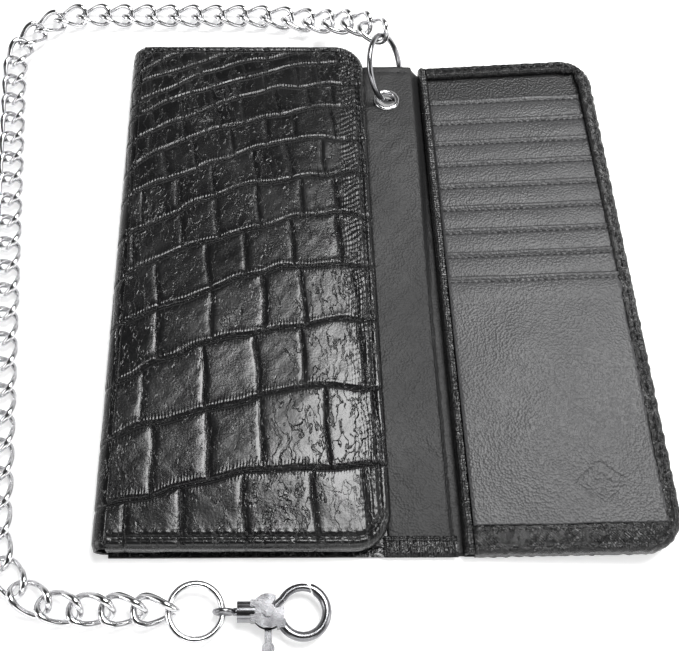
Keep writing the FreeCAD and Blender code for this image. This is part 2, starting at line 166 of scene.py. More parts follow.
@dataclass(frozen=True)
class EmbossedLeather:
    """Glossy black leather with pressed scales; the scales are in the mesh and the fine creases are here."""

    name: str = "embossed_leather"
    dark: tuple = (0.0022, 0.0022, 0.0024)
    light: tuple = (0.007, 0.007, 0.0075)
    flat_scales: bool = False

    def material(self) -> bpy.types.Material:
        """Build the leather."""
        shader = Shader(self.name)
        grain = shader.noise(1500, 3)
        pores = shader.cells(1100)
        bend = shader.noise(110, 3)
        warped = shader.node("VectorMath", {0: shader.place, 1: (0, 0, 0)}, operation="ADD")
        wander = shader.node("TexNoise", {"Vector": shader.place, "Scale": 160}).outputs[1]
        offset = shader.node("VectorMath", {0: wander, 3: 0.006}, operation="SCALE")
        shader.feed(warped.inputs[1], offset.outputs[0])
        slant = shader.node("Mapping", {"Vector": warped.outputs[0], "Rotation": (0, 0, 0.85),
                                        "Scale": (1.0, 0.22, 1.0)}).outputs[0]
        fine = shader.math("ABSOLUTE", shader.math("SUBTRACT", shader.noise(330, 3, slant), 0.5), 0.0)
        creases = shader.ramp(fine, (0.0, 0.0), (0.035, 1.0))
        where = shader.ramp(shader.noise(42, 2), (0.36, 0.9), (0.56, 0.0))
        soft = shader.math("MAXIMUM", creases, where)
        normal = shader.bump(grain, 0.00010, 0.35)
        normal = shader.bump(pores, 0.00006, 0.35, normal)
        normal = shader.bump(soft, 0.00016, 0.8, normal)
        groove_highlight = shader.node("Attribute", attribute_name="groove_highlight").outputs["Fac"]
        lines = (("row_phase", "row_size", 0.42, 0.00030), ("seam_phase", "seam_size", 0.34, 0.00026))
        for phase, size, wide, deep in lines:
            normal = shader.bump(self.crease(shader, phase, size, wide), deep, 1.0, normal)
        pleat_place = shader.node("UVMap", uv_map="pleats").outputs[0]
        pleats = shader.node("TexWave", {"Vector": pleat_place, "Scale": 2.6, "Distortion": 3.2, "Detail": 2.0,
                                         "Detail Scale": 1.6}, bands_direction="X").outputs["Fac"]
        near = shader.node("Attribute", attribute_name="pleat").outputs["Fac"]
        normal = shader.bump(shader.math("MULTIPLY", pleats, near), 0.00022, 0.8, normal)
        if self.flat_scales:
            normal = self.pressed(shader, normal)
        # Colour mixes a random mottle with a painted highlight: the groove mask lightens the leather along the lines
        # between scales and in the troughs of wrinkles.
        variation = shader.math("ADD", shader.math("MULTIPLY", bend, 0.5), shader.math("MULTIPLY", groove_highlight, 0.35))
        colour = shader.tint(variation, self.dark, self.light)
        rough = shader.ramp(shader.math("ADD", shader.noise(60, 3), shader.math("MULTIPLY", grain, 0.4)),
                            (0.4, 0.19), (1.0, 0.34))
        return shader.finish(Base_Color=colour, Roughness=rough, Normal=normal, Specular_IOR_Level=0.5)

    def crease(self, shader: Shader, phase: str, size: str, wide: float) -> bpy.types.NodeSocket:
        """The sharp line where two scales meet.

        Args:
            shader: The material under construction.
            phase: The attribute that passes a whole number at each line.
            size: The attribute that holds the distance between lines, in millimetres.
            wide: Half of the line's width, in millimetres.

        Returns:
            One on open leather, falling to nothing in the line.
        """
        share = shader.math("FRACT", shader.node("Attribute", attribute_name=phase).outputs["Fac"], 0.0)
        near = shader.math("MINIMUM", share, shader.math("SUBTRACT", 1.0, share))
        distance = shader.math("MULTIPLY", near, shader.node("Attribute", attribute_name=size).outputs["Fac"])
        ragged = shader.math("ADD", distance, shader.ramp(shader.noise(700, 2), (0.3, -0.12), (0.7, 0.12)))
        return shader.ramp(ragged, (0.0, 0.0), (wide, 1.0))

    def pressed(self, shader: Shader, under) -> bpy.types.NodeSocket:
        """Scales as a bump only, for leather that is mostly out of sight.

        Args:
            shader: The material under construction.
            under: The bump so far.

        Returns:
            The bump with rows of scales on it.
        """
        turned = shader.node("Mapping", {"Vector": shader.place, "Scale": (58, 44, 58)}).outputs[0]
        shift = shader.node("VectorMath", {0: shader.noise(14, 2), 3: 0.7}, operation="SCALE").outputs[0]
        moved = shader.node("VectorMath", {0: turned, 1: shift}, operation="ADD").outputs[0]
        wall = shader.node("TexBrick", {"Vector": moved, "Scale": 1.0, "Mortar Size": 0.03, "Mortar Smooth": 0.6,
                                        "Brick Width": 1.0, "Row Height": 1.0})
        return shader.bump(wall.outputs["Fac"], -0.0006, 0.9, under)


@dataclass(frozen=True)
class SmoothLeather:
    """Soft black leather with a fine even grain, a little greyer than the embossed one."""

    name: str = "smooth_leather"
    dark: tuple = (0.005, 0.005, 0.0053)
    light: tuple = (0.018, 0.018, 0.0187)
    smooth: float = 0.34
    rough: float = 0.52

    def material(self) -> bpy.types.Material:
        """Build the leather."""
        shader = Shader(self.name)
        pebble = shader.cells(1250)
        fine = shader.noise(2600, 2)
        cloud = shader.noise(26, 4)
        folds = shader.noise(16, 3, shader.scaled((5.0, 0.8, 1.0)))
        normal = shader.bump(pebble, 0.00016, 0.9)
        normal = shader.bump(fine, 0.00006, 0.7, normal)
        normal = shader.bump(folds, 0.0009, 0.30, normal)
        colour = shader.tint(shader.math("MULTIPLY", shader.math("ADD", cloud, fine), 0.5), self.dark, self.light)
        variation = shader.math("ADD", cloud, shader.math("MULTIPLY", fine, 0.5))
        rough = shader.ramp(variation, (0.4, self.smooth), (1.2, self.rough))
        return shader.finish(Base_Color=colour, Roughness=rough, Normal=normal, Specular_IOR_Level=0.45)


@dataclass(frozen=True)
class LiningCloth:
    """Black twill behind the leather."""

    name: str = "lining_cloth"
    dark: tuple = (0.006, 0.006, 0.007)
    light: tuple = (0.028, 0.028, 0.030)

    def material(self) -> bpy.types.Material:
        """Build the cloth."""
        shader = Shader(self.name)
        slant = shader.node("Mapping", {"Vector": shader.place, "Rotation": (0, 0, 0.78)}).outputs[0]
        twill = shader.node("TexWave", {"Vector": slant, "Scale": 420.0, "Distortion": 0.6}).outputs["Fac"]
        weft = shader.node("TexWave", {"Vector": shader.place, "Scale": 520.0}, bands_direction="Y").outputs["Fac"]
        weave = shader.math("MULTIPLY", twill, weft)
        colour = shader.tint(weave, self.dark, self.light)
        rough = shader.ramp(shader.noise(90), (0.3, 0.72), (0.7, 0.9))
        return shader.finish(Base_Color=colour, Roughness=rough, Normal=shader.bump(weave, 0.0001, 0.7))


@dataclass(frozen=True)
class ScreeningFilm:
    """Thin grey metallised film."""

    name: str = "screening_film"

    def material(self) -> bpy.types.Material:
        """Build the film."""
        shader = Shader(self.name)
        wrinkle = shader.noise(140, 5)
        rough = shader.ramp(wrinkle, (0.3, 0.25), (0.7, 0.45))
        colour = shader.tint(wrinkle, (0.30, 0.31, 0.32), (0.48, 0.49, 0.50))
        normal = shader.bump(wrinkle, 0.0003, 0.5)
        return shader.finish(Base_Color=colour, Metallic=1.0, Roughness=rough, Normal=normal)


@dataclass(frozen=True)
class PolishedMetal:
    """Plated steel with faint handling marks."""

    name: str = "polished_metal"
    dark: tuple = (0.50, 0.50, 0.51)
    light: tuple = (0.78, 0.78, 0.79)
    smooth: float = 0.09
    rough: float = 0.22

    def material(self) -> bpy.types.Material:
        """Build the metal."""
        shader = Shader(self.name)
        smear = shader.noise(220, 5)
        scratch = shader.noise(900, 2, shader.scaled((1.0, 9.0, 4.0)))
        colour = shader.tint(smear, self.dark, self.light)
        rough = shader.ramp(shader.math("ADD", smear, shader.math("MULTIPLY", scratch, 0.3)),
                            (0.35, self.smooth), (0.95, self.rough))
        normal = shader.bump(scratch, 0.00002, 0.4)
        return shader.finish(Base_Color=colour, Metallic=1.0, Roughness=rough, Normal=normal)


@dataclass(frozen=True)
class WaxedThread:
    """Black sewing thread with its twist."""

    name: str = "waxed_thread"

    def material(self) -> bpy.types.Material:
        """Build the thread."""
        shader = Shader(self.name)
        twist = shader.node("TexWave", {"Vector": shader.place, "Scale": 900.0, "Distortion": 1.0},
                            bands_direction="DIAGONAL").outputs["Fac"]
        colour = shader.tint(twist, (0.006, 0.006, 0.006), (0.040, 0.040, 0.042))
        rough = shader.ramp(twist, (0.0, 0.42), (1.0, 0.62))
        return shader.finish(Base_Color=colour, Roughness=rough, Normal=shader.bump(twist, 0.00008, 0.8))


@dataclass(frozen=True)
class Backdrop:
    """Plain pale paper."""

    name: str = "backdrop"

    def material(self) -> bpy.types.Material:
        """Build the paper."""
        shader = Shader(self.name)
        colour = shader.tint(shader.noise(3, 2), (0.90, 0.90, 0.90), (0.92, 0.92, 0.92))
        return shader.finish(Base_Color=colour, Roughness=0.9, Specular_IOR_Level=0.0, Emission_Color=(1, 1, 1, 1),
                             Emission_Strength=0.42)


class Finishes:
    """Every material, made once."""

    def __init__(self) -> None:
        """Make them all."""
        self.embossed = EmbossedLeather().material()
        self.pressed = EmbossedLeather(name="embossed_leather_back", flat_scales=True).material()
        self.smooth = SmoothLeather().material()
        self.strip = SmoothLeather(name="strip_leather_finish", dark=(0.006, 0.006, 0.0062),
                                   light=(0.016, 0.016, 0.0165), smooth=0.46, rough=0.66).material()
        # The card pockets take a lighter copy of the smooth leather: the extra lightness is a painted sheen, standing
        # in for the key light's broad reflection on the wing.
        self.card = SmoothLeather(name="card_leather_painted_sheen", dark=(0.024, 0.024, 0.025),
                                  light=(0.055, 0.055, 0.057)).material()
        self.lining = LiningCloth().material()
        self.film = ScreeningFilm().material()
        self.metal = PolishedMetal().material()
        self.dark_metal = PolishedMetal(name="dark_metal", dark=(0.16, 0.16, 0.17),
                                        light=(0.34, 0.34, 0.35)).material()
        self.cast_metal = PolishedMetal(name="cast_metal", dark=(0.13, 0.13, 0.14),
                                        light=(0.34, 0.34, 0.35), smooth=0.16, rough=0.32).material()
        self.thread = WaxedThread().material()
        self.backdrop = Backdrop().material()


# --------------------------------------------------------------- shop tools


@dataclass
class Piece:
    """A finished piece and what it needs to take its place in the assembly."""

    obj: bpy.types.Object

    def dress(self, material: bpy.types.Material, slot: Slot) -> "Piece":
        """Give the piece one material."""
        self.obj.data.materials.clear()
        self.obj.data.materials.append(material)
        return self

    def ride(self, body: str, *nodes: str) -> "Piece":
        """Let the piece move with a body and stand for nodes."""
        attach(self.obj, body)
        if nodes:
            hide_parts(*nodes)
        log.info("%s rides on %s, %d faces", self.obj.name, body, len(self.obj.data.polygons))
        return self


def put(name: str, mesh: bpy.types.Mesh, smooth: bool = True) -> Piece:
    """Link a mesh as an object at the origin.

    Args:
        name: The piece's name.
        mesh: Its mesh, in metres and in place.
        smooth: Whether its faces are shaded smooth.

    Returns:
        The piece.
    """
    mesh.name = name
    obj = bpy.data.objects.new(name, mesh)
    bpy.context.scene.collection.objects.link(obj)
    mesh.shade_smooth() if smooth else mesh.shade_flat()
    return Piece(obj)


def grid_sheet(columns: int, rows: int, shape: Callable) -> tuple[bpy.types.Mesh, dict]:
    """A grid whose points are carried onto a surface.

    Args:
        columns: Faces across.
        rows: Faces along.
        shape: Takes the points' two shares from 0 to 1 and returns places in millimetres and named point values.

    Returns:
        The mesh in metres and the point values.
    """
    made = bmesh.new()
    bmesh.ops.create_grid(made, x_segments=columns, y_segments=rows, size=0.5)
    mesh = bpy.data.meshes.new("sheet")
    made.to_mesh(mesh)
    made.free()
    points = np.empty(len(mesh.vertices) * 3)
    mesh.vertices.foreach_get("co", points)
    points = points.reshape(-1, 3)
    places, values = shape(points[:, 0] + 0.5, points[:, 1] + 0.5)
    mesh.vertices.foreach_set("co", (places * MM).astype(np.float32).ravel())
    for name, value in values.items():
        if name != "pleats":
            mesh.attributes.new(name, "FLOAT", "POINT").data.foreach_set("value", value.astype(np.float32))
    if "pleats" in values:
        corners = np.empty(len(mesh.loops), np.int32)
        mesh.loops.foreach_get("vertex_index", corners)
        layer = mesh.uv_layers.new(name="pleats")
        layer.data.foreach_set("uv", values["pleats"][corners].astype(np.float32).ravel())
    mesh.update()
    return mesh, values


def reshaped(mesh: bpy.types.Mesh, work: Callable[[bmesh.types.BMesh], None]) -> bpy.types.Mesh:
    """Run bmesh steps on a mesh in place."""
    made = bmesh.new()
    made.from_mesh(mesh)
    work(made)
    made.to_mesh(mesh)
    made.free()
    mesh.update()
    return mesh


def thickened(mesh: bpy.types.Mesh, thickness: float) -> bpy.types.Mesh:
    """Give a sheet a closed wall, in millimetres, on the side away from its normals."""
    def work(made: bmesh.types.BMesh) -> None:
        """Add the wall."""
        bmesh.ops.solidify(made, geom=made.faces[:], thickness=thickness * MM)
        bmesh.ops.recalc_face_normals(made, faces=made.faces[:])
    return reshaped(mesh, work)


def hashed(*numbers: Array) -> Array:
    """An even scatter from 0 to 1 for whole numbers, the same each time."""
    total = sum(number * weight for number, weight in zip(numbers, (12.9898, 78.233, 37.719)))
    return np.modf(np.abs(np.sin(total) * 43758.5453))[0]


def drift(x: Array, y: Array, wave: float, phase: float = 0.0) -> Array:
    """A smooth uneven field between about -1 and 1."""
    turn = 2 * math.pi / wave
    return (np.sin(x * turn + 1.7 * np.sin(y * turn * 0.63 + phase) + phase)
            + np.sin(y * turn * 0.87 - 1.3 * np.sin(x * turn * 0.71 + 2.1 * phase) + 2.3)) / 2


def bell(distance: Array, width: float) -> Array:
    """One at no distance, falling off over a width."""
    return np.exp(-(distance / width) ** 2)


def eased(value: Array, low: float, high: float) -> Array:
    """A smooth step from 0 at low to 1 at high."""
    share = np.clip((value - low) / (high - low), 0, 1)
    return share * share * (3 - 2 * share)


@dataclass
class ScalePattern:
    """Rows of pressed scales that climb from the fold and level out towards the free edge.

    Rows are counted from the north; each is taller than the one before, and each scale leans with its row.
    """

    first: float = 92.5
    height: float = 10.4
    growth: float = 2.05
    extra_rows: int = 4
    rows: int = 12
    level_at: float = 27.0
    reach: float = 80.0
    climb: float = 28.0
    calm: float = 15.0
    width: float = 10.8
    width_growth: float = 0.98
    lean: float = 0.12
    row_depth: float = 0.46
    seam_depth: float = 0.34
    dome: float = 0.30

    def start(self, row: int) -> float:
        """Where a row begins at the level end."""
        if row < 0:
            return self.first - 8.0 * row
        return self.first - self.height * row - self.growth * row * (row - 1) / 2

    def line(self, row: int, x: Array) -> Array:
        """A row's upper line over x."""
        climb = self.climb - self.calm * (max(row, 0) / 9) ** 4
        away = np.maximum(self.level_at - x, 0) / self.reach
        wander = 0.8 * np.sin(x * 0.11 + 2.4 * row) + 0.35 * np.sin(x * 0.31 + 1.1 * row)
        return self.start(row) - climb * away ** 1.75 + wander

    def relief(self, x: Array, y: Array) -> dict[str, Array]:
        """The pressed surface over flat leather.

        Args:
            x: Places across, in millimetres.
            y: Places along, in millimetres.

        Returns:
            Height in millimetres, the point values that the leather's own creases follow and the mask of the painted
            highlight along the grooves.
        """
        east = x + 0.5 * drift(x, y, 23, 0.4)
        north = y + 0.45 * drift(x, y, 17, 1.9)
        row = np.full(x.shape, -self.extra_rows - 1.0)
        upper = np.full(x.shape, self.start(-self.extra_rows) + 9.0)
        lower = np.full(x.shape, -1e3)
        for number in range(-self.extra_rows, self.rows):
            line = self.line(number, east)
            below = north < line
            row = np.where(below, number, row)
            upper = np.where(below, line, upper)
            lower = np.where(below, lower, np.maximum(lower, line))
        away = np.maximum(self.level_at - east, 0) / self.reach
        slope = 1 / np.sqrt(1 + (1.75 * self.climb / self.reach * away ** 0.75) ** 2)
        to_upper = (upper - north) * slope
        to_lower = (north - lower) * slope
        width = self.width + self.width_growth * np.maximum(row, -2)
        leaning = east - self.lean * (upper - north) * np.clip(1.2 - row / 9, -0.3, 1)
        along = leaning / width + hashed(row, row * 0 + 3.0) + 0.5 * (row % 2)
        along += 0.09 * np.sin(4.1 * along + 1.7 * row)
        middle = along - np.floor(along)
        corner = 1.6 * bell(np.minimum(to_upper, to_lower), 1.6)
        to_seam = np.minimum(middle, 1 - middle) * width + 0.25 * corner
        to_row = np.minimum(np.abs(to_upper), np.abs(to_lower))
        size = np.clip(width / 18, 0.55, 1.2)
        strong = 0.62 + 0.38 * eased(row, 0, 7)
        height = -self.row_depth * strong * bell(to_row, 0.55)
        height += 0.16 * bell(to_lower - 1.4, 0.9) * strong
        height -= self.seam_depth * strong * bell(to_seam, 0.45)
        plump = np.clip(np.minimum(to_seam, to_row) / (3.2 * size), 0, 1)
        height += self.dome * size * (1 - (1 - plump) ** 2)
        height += 0.04 * drift(x, y, 9.3, 0.8) + 0.02 * drift(x, y, 4.7, 2.0)
        pleat = np.maximum(bell(to_lower, 2.1), 0.75 * bell(to_upper, 1.6)) * (0.5 + 0.5 * drift(x, y, 21, 3.0))
        tall = np.maximum(upper - lower, 1)
        # The groove value marks the scales' lines, where the leather's colour is lightened as a painted highlight.
        return {"height": height, "groove_highlight": np.maximum(bell(to_row, 0.9), 0.8 * bell(to_seam, 0.7)),
                "row_phase": row + (upper - north) / tall, "row_size": tall * slope, "seam_phase": along,
                "seam_size": width, "pleat": np.clip(pleat, 0, 1), "pleats": np.stack([east * 0.12, north * 0.03], 1)}


@dataclass
class RolledPanel:
    """A leather panel with its free edges rolled down and its two free corners rounded; sizes in millimetres."""

    west: float
    east: float
    south: float
    north: float
    bottom: float
    top: float
    corner: float = 12.0
    roll: float = 2.4
    step: float = 0.6

    def reach(self) -> float:
        """Leather from a corner's centre to the wall's foot."""
        return self.corner - self.roll + math.pi / 2 * self.roll + (self.top - self.bottom - self.roll)

    def counts(self) -> tuple[int, int]:
        """Faces across and along."""
        across = self.east - self.corner + self.reach() - self.west
        along = self.north - self.south - 2 * self.corner + 2 * self.reach()
        return round(across / self.step), round(along / self.step)

    def fold(self, out: Array) -> tuple[Array, Array, Array]:
        """Carry leather over the rolled edge.

        Args:
            out: Distance from the corners' centre line, along the leather.

        Returns:
            Distance outwards, height and the angle that the leather has turned down.
        """
        flat = self.corner - self.roll
        angle = np.clip((out - flat) / self.roll, 0, math.pi / 2)
        beyond = np.maximum(out - flat - math.pi / 2 * self.roll, 0)
        outwards = np.minimum(out, flat) + self.roll * np.sin(angle)
        height = self.top - self.roll * (1 - np.cos(angle)) - beyond
        return outwards, height, angle

    def place(self, across: Array, along: Array) -> dict[str, Array]:
        """Places, normals, leather coordinates and edge distance for shares from 0 to 1."""
        reach = self.reach()
        x = self.west + across * (self.east - self.corner + reach - self.west)
        y = self.south + self.corner - reach + along * (self.north - self.south - 2 * self.corner + 2 * reach)
        middle_x = np.minimum(x, self.east - self.corner)
        middle_y = np.clip(y, self.south + self.corner, self.north - self.corner)
        over_x = x - middle_x
        over_y = np.abs(y - middle_y)
        sign = np.where(y < middle_y, -1.0, 1.0)
        out = np.maximum(over_x, over_y)
        ratio = np.minimum(over_x, over_y) / np.maximum(out, 1e-9)
        turn = np.where(over_x >= over_y, math.pi / 4 * ratio, math.pi / 2 - math.pi / 4 * ratio)
        ahead = np.stack([np.cos(turn), np.sin(turn) * sign], 1)
        outwards, height, angle = self.fold(out)
        places = np.stack([middle_x + ahead[:, 0] * outwards, middle_y + ahead[:, 1] * outwards, height], 1)
        normals = np.stack([ahead[:, 0] * np.sin(angle), ahead[:, 1] * np.sin(angle), np.cos(angle)], 1)
        leather = np.stack([middle_x + ahead[:, 0] * out, middle_y + ahead[:, 1] * out], 1)
        edge = np.minimum(np.minimum(self.east - middle_x, self.north - middle_y), middle_y - self.south)
        edge = np.where(out > 0, self.corner - outwards, edge)
        return {"places": places, "normals": normals, "leather": leather, "edge": edge, "angle": angle}

    def edge_path(self, inset: float, spacing: float) -> tuple[Array, Array]:
        """Points and outward directions on a line inside the free edges: south, then east, then north.

        Args:
            inset: Distance in from the edge, less than the corner's radius.
            spacing: Step from point to point.

        Returns:
            The points (x, y) and the outward directions.
        """
        radius = self.corner - inset
        corners = [(self.east - self.corner, self.south + self.corner, -math.pi / 2),
                   (self.east - self.corner, self.north - self.corner, 0.0)]
        last = self.east - self.corner
        points = [np.array([x, self.south + inset, 0, -1]) for x in np.arange(self.west + 2, last, spacing)]
        for number, (x, y, start) in enumerate(corners):
            steps = max(2, round(radius * math.pi / 2 / spacing))
            for share in (np.arange(steps) + 0.5) / steps:
                turn = start + share * math.pi / 2
                ahead = np.array([math.cos(turn), math.sin(turn)])
                points.append(np.concatenate([np.array([x, y]) + radius * ahead, ahead]))
            if number == 0:
                run = np.arange(y, self.north - self.corner, spacing)
                points += [np.array([self.east - inset, place, 1, 0]) for place in run]
        points += [np.array([x, self.north - inset, 0, 1]) for x in np.arange(last, self.west + 2, -spacing)]
        rows = np.array(points)
        return rows[:, :2], rows[:, 2:]


@dataclass
class Seam:
    """A row of stitches, each a short bead of thread; sizes in millimetres."""

    pitch: float = 2.9
    length: float = 2.1
    radius: float = 0.24
    tilt: float = 0.10

    def sew(self, name: str, points: Array, heights: Array, outwards: Array, seat: Matrix = Matrix()) -> Piece:
        """Sew along points.

        Args:
            name: The piece's name.
            points: Middle of each stitch, (x, y).
            heights: Height of each stitch.
            outwards: Direction across the seam at each stitch.
            seat: The panel's own placement.

        Returns:
            All the stitches as one piece.
        """
        made = bmesh.new()
        for (x, y), z, (a, b) in zip(points, heights, outwards):
            along = Vector((-b, a, 0)).normalized()
            across = Vector((a, b, 0)).normalized()
            turned = (along + across * self.tilt).normalized()
            side = Vector((0, 0, 1)).cross(turned)
            frame_ = Matrix((turned, side, Vector((0, 0, 1)))).transposed().to_4x4()
            frame_.translation = Vector((x, y, z)) * MM
            size = Matrix.Diagonal((self.length / 2 * MM, self.radius * MM, self.radius * MM, 1))
            bmesh.ops.create_uvsphere(made, u_segments=6, v_segments=4, radius=1.0,
                                      matrix=seat @ frame_ @ size @ Matrix.Rotation(math.pi / 2, 4, "Y"))
        mesh = bpy.data.meshes.new(name)
        made.to_mesh(mesh)
        made.free()
        return put(name, mesh)


def lathe(made: bmesh.types.BMesh, profile: Sequence[tuple[float, float]], seat: Matrix, steps: int = 40) -> None:
    """Turn a profile about its seat's own z axis.

    Args:
        made: The mesh to add to.
        profile: (radius, height) pairs in millimetres, closed when the last meets the first.
        seat: Where the turned shape stands.
        steps: Faces round.
    """
    closed = profile[0] == profile[-1]
    verts = [made.verts.new(Vector((radius, 0, height)) * MM) for radius, height in profile[:len(profile) - closed]]
    edges = [made.edges.new(pair) for pair in zip(verts, verts[1:])]
    if closed:
        edges.append(made.edges.new((verts[-1], verts[0])))
    before = set(made.faces)
    bmesh.ops.spin(made, geom=verts + edges, cent=(0, 0, 0), axis=(0, 0, 1), angle=2 * math.pi, steps=steps,
                         use_merge=True)
    faces = [face for face in made.faces if face not in before]
    points = list({vert for face in faces for vert in face.verts})
    bmesh.ops.remove_doubles(made, verts=points, dist=1e-6)
    faces = [face for face in made.faces if face not in before]
    bmesh.ops.recalc_face_normals(made, faces=faces)
    bmesh.ops.transform(made, matrix=seat, verts=list({vert for face in faces for vert in face.verts}))


def ring_of_wire(made: bmesh.types.BMesh, radius: float, wire: float, seat: Matrix, steps: int = 96) -> None:
    """A ring of round wire in its seat's own xy plane, in millimetres."""
    turns = np.linspace(0, 2 * math.pi, 17)[:-1]
    circle = [(radius + wire * math.cos(turn), wire * math.sin(turn)) for turn in turns]
    lathe(made, circle + circle[:1], seat, steps)


def node_points(name: str) -> Array:
    """A node's own points in millimetres."""
    mesh = frame["nodes"][name].data
    points = np.empty(len(mesh.vertices) * 3)
    mesh.vertices.foreach_get("co", points)
    return points.reshape(-1, 3) / MM


def best_plane(points: Array) -> tuple[Vector, Matrix]:
    """The middle of a ring-like solid and axes whose third is its own axis."""
    middle = (points.min(0) + points.max(0)) / 2
    spread = np.linalg.eigh(np.cov((points - points.mean(0)).T))[1]
    first, second = Vector(spread[:, 2]), Vector(spread[:, 1])
    return Vector(middle), Matrix((first, second, first.cross(second))).transposed()


def seated(middle: Vector, axes: Matrix) -> Matrix:
    """A placement in metres from a middle in millimetres and axes."""
    seat = axes.to_4x4()
    seat.translation = middle * MM
    return seat


def corners_of(node: str) -> tuple[Vector, Vector]:
    """A node's lowest and highest corners in millimetres."""
    low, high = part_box(node)
    return low / MM, high / MM


# ---------------------------------------------------------------- the cover


@dataclass
class Cover:
    """The embossed front that folds over the back panel."""

    finishes: Finishes
    pattern: ScalePattern = field(default_factory=ScalePattern)
    border: float = 6.2
    skin: float = 1.6
    seam_inset: float = 3.3
    crown: float = 0.9
    proud: float = 1.0
    fill: float = 0.8
    stitch: Seam = field(default_factory=lambda: Seam(pitch=2.7, length=1.9, radius=0.24))

    def __post_init__(self) -> None:
        """Take the panel's box from the frame."""
        low, high = corners_of("cover_shell")
        self.panel = RolledPanel(low.x, high.x + self.proud, low.y - self.proud, high.y + 2 * self.proud,
                                 low.z, high.z, roll=2.6, step=0.46)

    def surface(self, across: Array, along: Array) -> tuple[Array, dict]:
        """The pressed leather over the panel."""
        spot = self.panel.place(across, along)
        x, y = spot["leather"].T
        relief = self.pattern.relief(x, y)
        edge = spot["edge"]
        quiet = eased(edge, 0.4, 4.4)
        height = relief["height"] * (0.30 + 0.70 * quiet)
        height += 0.20 * drift(x, y, 61, 0.3) * eased(edge, 3, 14)
        height += self.crown * eased(edge, 2, 30)
        north_share = eased(y, -70, 60)
        gathered = np.sin(2.9 * (y + 0.55 * (self.panel.east - x)) + 1.6 * drift(x, y, 9, 1.0))
        band = bell(self.panel.east - x - 6.5, 3.4) * (0.35 + 0.65 * north_share)
        height += 0.15 * gathered * band
        pinch = np.sin(2 * math.pi * (y + x) / self.stitch.pitch)
        on_seam = bell(edge - self.seam_inset, 0.75) * eased(x, self.panel.west, self.panel.west + 3)
        height -= on_seam * (0.55 + 0.12 * pinch)
        height += 0.16 * bell(edge - self.seam_inset - 1.7, 0.8) * (1 + 0.6 * pinch)
        places = spot["places"] + spot["normals"] * height[:, None]
        keep = {name: value for name, value in relief.items() if name != "height"}
        keep["pleat"] = np.maximum(keep["pleat"], 0.8 * band)
        return places, keep

    def close(self, made: bmesh.types.BMesh) -> None:
        """Turn the edges under and close the skin above the lining."""
        panel = self.panel
        low = Vector((panel.west, panel.south + self.border + self.proud, panel.bottom)) * MM
        high = Vector((panel.east - self.border - self.proud, panel.north - self.border - 2 * self.proud, 0)) * MM
        rim = [edge for edge in made.edges if edge.is_boundary]
        turned = bmesh.ops.extrude_edge_only(made, edges=rim)["geom"]
        for vert in [item for item in turned if isinstance(item, bmesh.types.BMVert)]:
            vert.co = Vector((min(vert.co.x, high.x), min(max(vert.co.y, low.y), high.y), low.z))
        inner = [item for item in turned if isinstance(item, bmesh.types.BMEdge)]
        raised = bmesh.ops.extrude_edge_only(made, edges=inner)["geom"]
        for vert in [item for item in raised if isinstance(item, bmesh.types.BMVert)]:
            vert.co.z = (panel.top - self.skin) * MM
        bmesh.ops.remove_doubles(made, verts=made.verts[:], dist=1e-6)
        bmesh.ops.holes_fill(made, edges=[edge for edge in made.edges if edge.is_boundary], sides=0)
        bmesh.ops.recalc_face_normals(made, faces=made.faces[:])

    def build(self) -> None:
        """Make the skin and its seam."""
        mesh, _ = grid_sheet(*self.panel.counts(), self.surface)
        skin = put("cover_skin", reshaped(mesh, self.close)).dress(self.finishes.embossed, Slot.EMBOSSED)
        skin.ride("cover", "cover_shell")
        points, outwards = self.panel.edge_path(self.seam_inset, self.stitch.pitch)
        heights = np.full(len(points), self.panel.top - 0.16)
        seam = self.stitch.sew("cover_stitches", points, heights, outwards)
        seam.dress(self.finishes.thread, Slot.EMBOSSED).ride("cover")


@dataclass
class Fold:
    """The rounded leather fold that joins the back panel to the cover."""

    finishes: Finishes
    pattern: ScalePattern = field(default_factory=ScalePattern)
    thickness: float = 1.1
    overlap: float = 1.4

    def build(self) -> None:
        """Make the half tube."""
        low, high = corners_of("left_spine")
        _, cover_high = corners_of("cover_shell")
        north = cover_high.y + self.overlap
        radius = (high.z - low.z) / 2

        def surface(across: Array, along: Array) -> tuple[Array, dict]:
            """The pressed leather round the fold."""
            turn = math.pi * (1.5 - across)
            y = low.y + along * (north - low.y)
            x = high.x - radius * (turn - math.pi / 2)
            relief = self.pattern.relief(x, y)
            normal = np.stack([np.cos(turn), np.zeros_like(turn), np.sin(turn)], 1)
            deep = relief["height"] * 0.45 - 0.15 - 1.6 * bell(north - y, 1.6) - 0.8 * bell(y - low.y, 1.4)
            middle = np.array([high.x, 0, low.z + radius])
            places = middle + normal * (radius + deep)[:, None]
            places[:, 1] = y
            return places, {name: value for name, value in relief.items() if name != "height"}

        mesh, _ = grid_sheet(40, 330, surface)
        piece = put("fold_leather", thickened(mesh, self.thickness - 0.3))
        piece.dress(self.finishes.embossed, Slot.EMBOSSED)
        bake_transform(piece.obj)
        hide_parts("left_spine")
        log.info("%s bends between the back panel and the cover", piece.obj.name)


# ------------------------------------------------------ strip and wing fold


